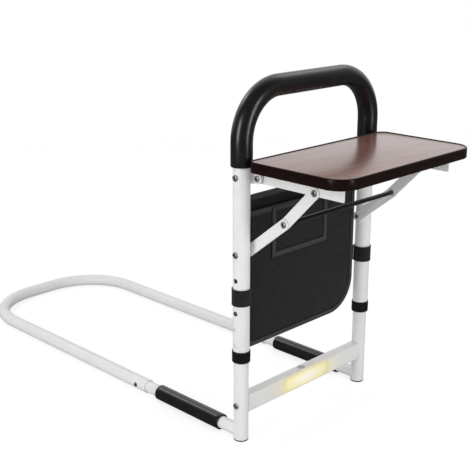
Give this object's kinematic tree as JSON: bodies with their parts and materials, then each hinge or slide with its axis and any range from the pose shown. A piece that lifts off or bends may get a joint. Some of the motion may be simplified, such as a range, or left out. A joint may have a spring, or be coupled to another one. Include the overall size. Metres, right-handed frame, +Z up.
{
  "type": "bed rail with folding table",
  "caption": "Bed rail of white steel tube with foam grips, a base loop that goes under the mattress, a light bar, a cloth bag and a small table on folding braces.",
  "frame": {"origin": "on the floor, under the middle of the bounding box", "axes": "+Z up; +Y from the rail towards the closed end of the base loop, which goes under the mattress; the table is on the -Y side; X along the rail"},
  "size_m": [0.466, 1.0736, 0.6255],
  "materials": {
    "white_steel": "gloss",
    "zinc": "satin",
    "spring_steel": "satin",
    "foam": "satin",
    "black_plastic": "matte",
    "black_paint": "gloss",
    "grey_plastic": "matte",
    "bag_cloth": "matte",
    "webbing": "matte",
    "walnut_board": "satin",
    "edge_band": "satin",
    "lens": "gloss",
    "circuit_board": "matte",
    "battery_wrap": "matte"
  },
  "bodies": {
    "base": {"leg_left": "white_steel", "leg_right": "white_steel", "foot_cap_left": "black_plastic", "foot_cap_right": "black_plastic", "base_grip_left": "foam", "base_grip_right": "foam", "cross_bar_bolt_left": "zinc", "cross_bar_bolt_right": "zinc", "leg_spring_left": "spring_steel", "leg_spring_right": "spring_steel", "loop_spring_left": "spring_steel", "loop_spring_right": "spring_steel", "base_loop": "white_steel", "cross_bar": "white_steel", "light_lens": "lens", "light_board": "circuit_board", "battery_pack": "battery_wrap", "strap_webbing": "webbing", "strap_buckle": "black_plastic"},
    "rail": {"collar_left": "black_plastic", "collar_right": "black_plastic", "hinge_bracket_left": "white_steel", "hinge_bracket_right": "white_steel", "bracket_bolt_left": "zinc", "bracket_bolt_right": "zinc", "hinge_bolt_left": "zinc", "hinge_bolt_right": "zinc", "brace_pivot_bolt_left": "zinc", "brace_pivot_bolt_right": "zinc", "brace_spacer_left": "black_plastic", "brace_spacer_right": "black_plastic", "bag_strap_left": "webbing", "bag_strap_right": "webbing", "handle_tube": "white_steel", "handle_grip": "foam", "bag_body": "bag_cloth", "bag_patch_pocket": "bag_cloth"},
    "table": {"table_rail_left": "white_steel", "table_rail_right": "white_steel", "rail_pivot_bolt_left": "zinc", "rail_pivot_bolt_right": "zinc", "table_board": "walnut_board", "table_edge": "edge_band", "table_screw_1": "zinc", "table_screw_2": "zinc", "table_screw_3": "zinc", "table_screw_4": "zinc"},
    "lower_braces": {"lower_link_left": "white_steel", "lower_link_right": "white_steel", "knee_bolt_left": "zinc", "knee_bolt_right": "zinc"},
    "upper_braces": {"upper_link_left": "white_steel", "upper_link_right": "white_steel", "knee_rod": "black_paint"},
    "leg_button_left": {"leg_button_left": "zinc"},
    "leg_button_right": {"leg_button_right": "zinc"},
    "loop_button_left": {"loop_button_left": "zinc"},
    "loop_button_right": {"loop_button_right": "zinc"},
    "light_button": {"light_button": "grey_plastic"}
  },
  "joints": [
    {"name": "height_adjust", "type": "slide", "parent": "base", "child": "rail", "axis": [0, 0, 1], "range_m": [-0.0576, 0.0576]},
    {"name": "table_fold", "type": "hinge", "parent": "rail", "child": "table", "pos_m": [-0.21497, -0.34095, 0.4662], "axis": [1, 0, 0], "range_deg": [0, 90]},
    {"name": "lower_brace_swing", "type": "hinge", "parent": "rail", "child": "lower_braces", "pos_m": [-0.21497, -0.32095, 0.3398], "axis": [1, 0, 0], "range_deg": [-47.7, 0]},
    {"name": "upper_brace_swing", "type": "hinge", "parent": "table", "child": "upper_braces", "pos_m": [-0.21497, -0.45545, 0.4622], "axis": [1, 0, 0], "range_deg": [0, 39.62]},
    {"name": "leg_button_left_press", "type": "slide", "parent": "base", "child": "leg_button_left", "axis": [1, 0, 0], "range_m": [0, 0.003], "stiffness_N_per_m": 400, "springref_m": -0.004, "deforming": ["leg_spring_left"]},
    {"name": "loop_button_left_press", "type": "slide", "parent": "base", "child": "loop_button_left", "axis": [1, 0, 0], "range_m": [0, 0.0035], "stiffness_N_per_m": 400, "springref_m": -0.004, "deforming": ["loop_spring_left"]},
    {"name": "leg_button_right_press", "type": "slide", "parent": "base", "child": "leg_button_right", "axis": [-1, 0, 0], "range_m": [0, 0.003], "stiffness_N_per_m": 400, "springref_m": -0.004, "deforming": ["leg_spring_right"]},
    {"name": "loop_button_right_press", "type": "slide", "parent": "base", "child": "loop_button_right", "axis": [-1, 0, 0], "range_m": [0, 0.0035], "stiffness_N_per_m": 400, "springref_m": -0.004, "deforming": ["loop_spring_right"]},
    {"name": "light_button_press", "type": "slide", "parent": "base", "child": "light_button", "axis": [0, 0, -1], "range_m": [0, 0.0015], "stiffness_N_per_m": 400, "springref_m": -0.003}
  ],
  "couplings": [
    {"joint": "lower_brace_swing", "follows": "table_fold", "ratio": -0.52996},
    {"joint": "upper_brace_swing", "follows": "table_fold", "ratio": 0.44008}
  ]
}
